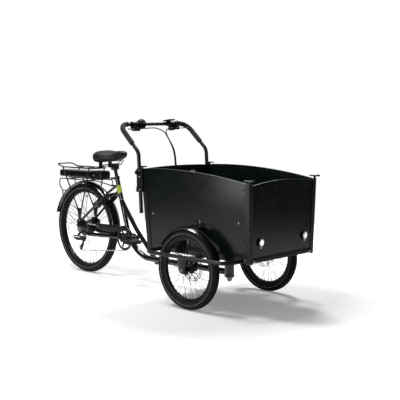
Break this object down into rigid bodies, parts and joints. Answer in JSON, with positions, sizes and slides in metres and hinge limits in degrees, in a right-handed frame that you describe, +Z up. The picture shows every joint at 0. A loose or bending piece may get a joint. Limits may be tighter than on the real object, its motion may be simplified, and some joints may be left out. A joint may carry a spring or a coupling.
{
  "type": "electric cargo tricycle",
  "caption": "Electric box tricycle: a plywood cargo box between steered front wheels, pedals, rear wheel drive, battery rack and saddle.",
  "frame": {"origin": "middle of the footprint, on the floor", "axes": "+X forward along the length, +Y to the rider's left, +Z up"},
  "size_m": [2.2619, 0.896, 1.158],
  "materials": {
    "frame_paint": "gloss",
    "powder_coat": "satin",
    "filmed_plywood": "satin dark film on plywood",
    "tyre": "matt",
    "anodised_rim": "satin black anodised",
    "bright_steel": "bright",
    "dark_steel": "dark",
    "grip_foam": "matt",
    "saddle_vinyl": "satin",
    "black_plastic": "satin",
    "red_plastic": "satin",
    "lamp_lens": "gloss"
  },
  "bodies": {
    "frame": {"main_tube": "frame_paint", "seat_tube": "frame_paint", "seat_stays": "frame_paint", "chain_stays": "frame_paint", "rack": "frame_paint", "battery_holder": "black_plastic", "rear_fender": "frame_paint", "chain_guard": "black_plastic", "ring_lock": "black_plastic", "shift_cable": "black_plastic", "chain": "dark_steel"},
    "front_carriage": {"chassis_loop": "frame_paint", "undercarriage": "frame_paint", "box_floor": "filmed_plywood", "panel_left": "filmed_plywood", "panel_right": "filmed_plywood", "panel_front": "filmed_plywood", "panel_rear": "filmed_plywood", "post_front_left": "powder_coat", "post_front_right": "powder_coat", "post_rear_left": "powder_coat", "post_rear_right": "powder_coat", "headlight_left": "lamp_lens", "headlight_right": "lamp_lens", "front_fender_left": "frame_paint", "front_fender_right": "frame_paint"},
    "handlebar_set": {"handlebar": "frame_paint", "grip_left": "grip_foam", "grip_right": "grip_foam", "control_pod_left": "black_plastic", "control_pod_right": "black_plastic", "handlebar_cables": "black_plastic"},
    "front_wheel_left": {"front_wheel_left": "anodised_rim", "front_tyre_left": "tyre", "brake_disc_left": "bright_steel"},
    "front_wheel_right": {"front_wheel_right": "anodised_rim", "front_tyre_right": "tyre", "brake_disc_right": "bright_steel"},
    "rear_wheel": {"rear_wheel": "anodised_rim", "rear_tyre": "tyre"},
    "cassette": {"cassette": "dark_steel"},
    "cranks": {"crank_left": "dark_steel", "crank_right": "dark_steel"},
    "pedal_left": {"pedal_left": "black_plastic"},
    "pedal_right": {"pedal_right": "black_plastic"},
    "derailleur": {"derailleur_body": "powder_coat"},
    "derailleur_cage": {"derailleur_cage": "dark_steel"},
    "saddle_set": {"seatpost": "dark_steel", "saddle": "saddle_vinyl"},
    "seat_clamp_lever": {"seat_clamp_lever": "bright_steel"},
    "battery": {"battery_case": "black_plastic"},
    "brake_lever_left": {"brake_lever_left": "powder_coat"},
    "brake_lever_right": {"brake_lever_right": "powder_coat"},
    "button_left": {"button_left": "red_plastic"},
    "button_right": {"button_right": "red_plastic"},
    "shifter": {"shifter": "black_plastic"},
    "clamp_knob_left": {"clamp_knob_left": "black_plastic"},
    "clamp_knob_right": {"clamp_knob_right": "black_plastic"},
    "rear_brake_arm_left": {"rear_brake_arm_left": "powder_coat"},
    "rear_brake_arm_right": {"rear_brake_arm_right": "powder_coat"}
  },
  "joints": [
    {"name": "steering", "type": "hinge", "parent": "frame", "child": "front_carriage", "pos_m": [0.66175, 0, 0.262], "axis": [0, 0, 1], "range_deg": [-40, 40]},
    {"name": "front_wheel_spin_left", "type": "hinge", "parent": "front_carriage", "child": "front_wheel_left", "pos_m": [0.66175, 0.37825, 0.249], "axis": [0, 1, 0], "continuous": true},
    {"name": "front_wheel_spin_right", "type": "hinge", "parent": "front_carriage", "child": "front_wheel_right", "pos_m": [0.66175, -0.37825, 0.249], "axis": [0, 1, 0], "continuous": true},
    {"name": "rear_wheel_spin", "type": "hinge", "parent": "frame", "child": "rear_wheel", "pos_m": [-0.78295, 0, 0.3354], "axis": [0, 1, 0], "continuous": true},
    {"name": "crank_spin", "type": "hinge", "parent": "frame", "child": "cranks", "pos_m": [-0.30095, 0, 0.3], "axis": [0, 1, 0], "continuous": true},
    {"name": "cassette_spin", "type": "hinge", "parent": "frame", "child": "cassette", "pos_m": [-0.78295, -0.047, 0.3354], "axis": [0, 1, 0], "continuous": true},
    {"name": "pedal_spin_right", "type": "hinge", "parent": "cranks", "child": "pedal_right", "pos_m": [-0.12905, -0.127, 0.306], "axis": [0, 1, 0], "continuous": true},
    {"name": "pedal_spin_left", "type": "hinge", "parent": "cranks", "child": "pedal_left", "pos_m": [-0.47285, 0.127, 0.294], "axis": [0, 1, 0], "continuous": true},
    {"name": "derailleur_shift", "type": "slide", "parent": "frame", "child": "derailleur", "axis": [0, 1, 0], "range_m": [-0.0084, 0.0168], "deforming": ["chain"]},
    {"name": "derailleur_cage_swing", "type": "hinge", "parent": "derailleur", "child": "derailleur_cage", "pos_m": [-0.75295, -0.0513, 0.262], "axis": [0, 1, 0], "range_deg": [-20, 30], "stiffness_Nm_per_rad": 3, "deforming": ["chain"]},
    {"name": "saddle_height", "type": "slide", "parent": "frame", "child": "saddle_set", "axis": [-0.2901, 0, 0.957], "range_m": [-0.025, 0.1]},
    {"name": "seat_clamp", "type": "hinge", "parent": "frame", "child": "seat_clamp_lever", "pos_m": [-0.46095, -0.0265, 0.728], "axis": [0, 0, -1], "range_deg": [0, 120]},
    {"name": "battery_pull", "type": "slide", "parent": "frame", "child": "battery", "axis": [-1, 0, 0], "range_m": [0, 0.4]},
    {"name": "handlebar_height", "type": "slide", "parent": "front_carriage", "child": "handlebar_set", "axis": [-0.0573, 0, 0.9984], "range_m": [-0.06, 0.12], "deforming": ["handlebar_cables"]},
    {"name": "brake_lever_pull_left", "type": "hinge", "parent": "handlebar_set", "child": "brake_lever_left", "pos_m": [-0.00295, 0.196, 1.094], "axis": [0, 0, 1], "range_deg": [0, 20], "stiffness_Nm_per_rad": 2},
    {"name": "brake_lever_pull_right", "type": "hinge", "parent": "handlebar_set", "child": "brake_lever_right", "pos_m": [-0.00295, -0.196, 1.094], "axis": [0, 0, -1], "range_deg": [0, 20], "stiffness_Nm_per_rad": 2},
    {"name": "rear_brake_close_right", "type": "hinge", "parent": "frame", "child": "rear_brake_arm_right", "pos_m": [-0.61558, -0.05627, 0.51926], "axis": [-0.6124, 0, 0.7905], "range_deg": [0, 3.5]},
    {"name": "rear_brake_close_left", "type": "hinge", "parent": "frame", "child": "rear_brake_arm_left", "pos_m": [-0.61558, 0.05627, 0.51926], "axis": [0.6124, 0, -0.7905], "range_deg": [0, 3.5]},
    {"name": "shifter_twist", "type": "hinge", "parent": "handlebar_set", "child": "shifter", "pos_m": [-0.03695, -0.115, 1.124], "axis": [0, 1, 0], "range_deg": [-36, 72]},
    {"name": "button_press_left", "type": "slide", "parent": "handlebar_set", "child": "button_left", "axis": [0, 0, -1], "range_m": [0, 0.002], "stiffness_N_per_m": 400},
    {"name": "button_press_right", "type": "slide", "parent": "handlebar_set", "child": "button_right", "axis": [0, 0, -1], "range_m": [0, 0.002], "stiffness_N_per_m": 400},
    {"name": "clamp_knob_turn_left", "type": "hinge", "parent": "front_carriage", "child": "clamp_knob_left", "pos_m": [0.16405, 0.3383, 0.817], "axis": [0, 1, 0], "range_deg": [0, 360]},
    {"name": "clamp_knob_turn_right", "type": "hinge", "parent": "front_carriage", "child": "clamp_knob_right", "pos_m": [0.16405, -0.3383, 0.817], "axis": [0, 1, 0], "range_deg": [0, 360]}
  ],
  "couplings": [
    {"joint": "cassette_spin", "follows": "crank_spin", "ratio": 2.2222},
    {"joint": "shifter_twist", "follows": "derailleur_shift", "rad_per_m": 74.799},
    {"joint": "rear_brake_close_right", "follows": "brake_lever_pull_right", "ratio": 0.17},
    {"joint": "rear_brake_close_left", "follows": "brake_lever_pull_right", "ratio": 0.17}
  ]
}
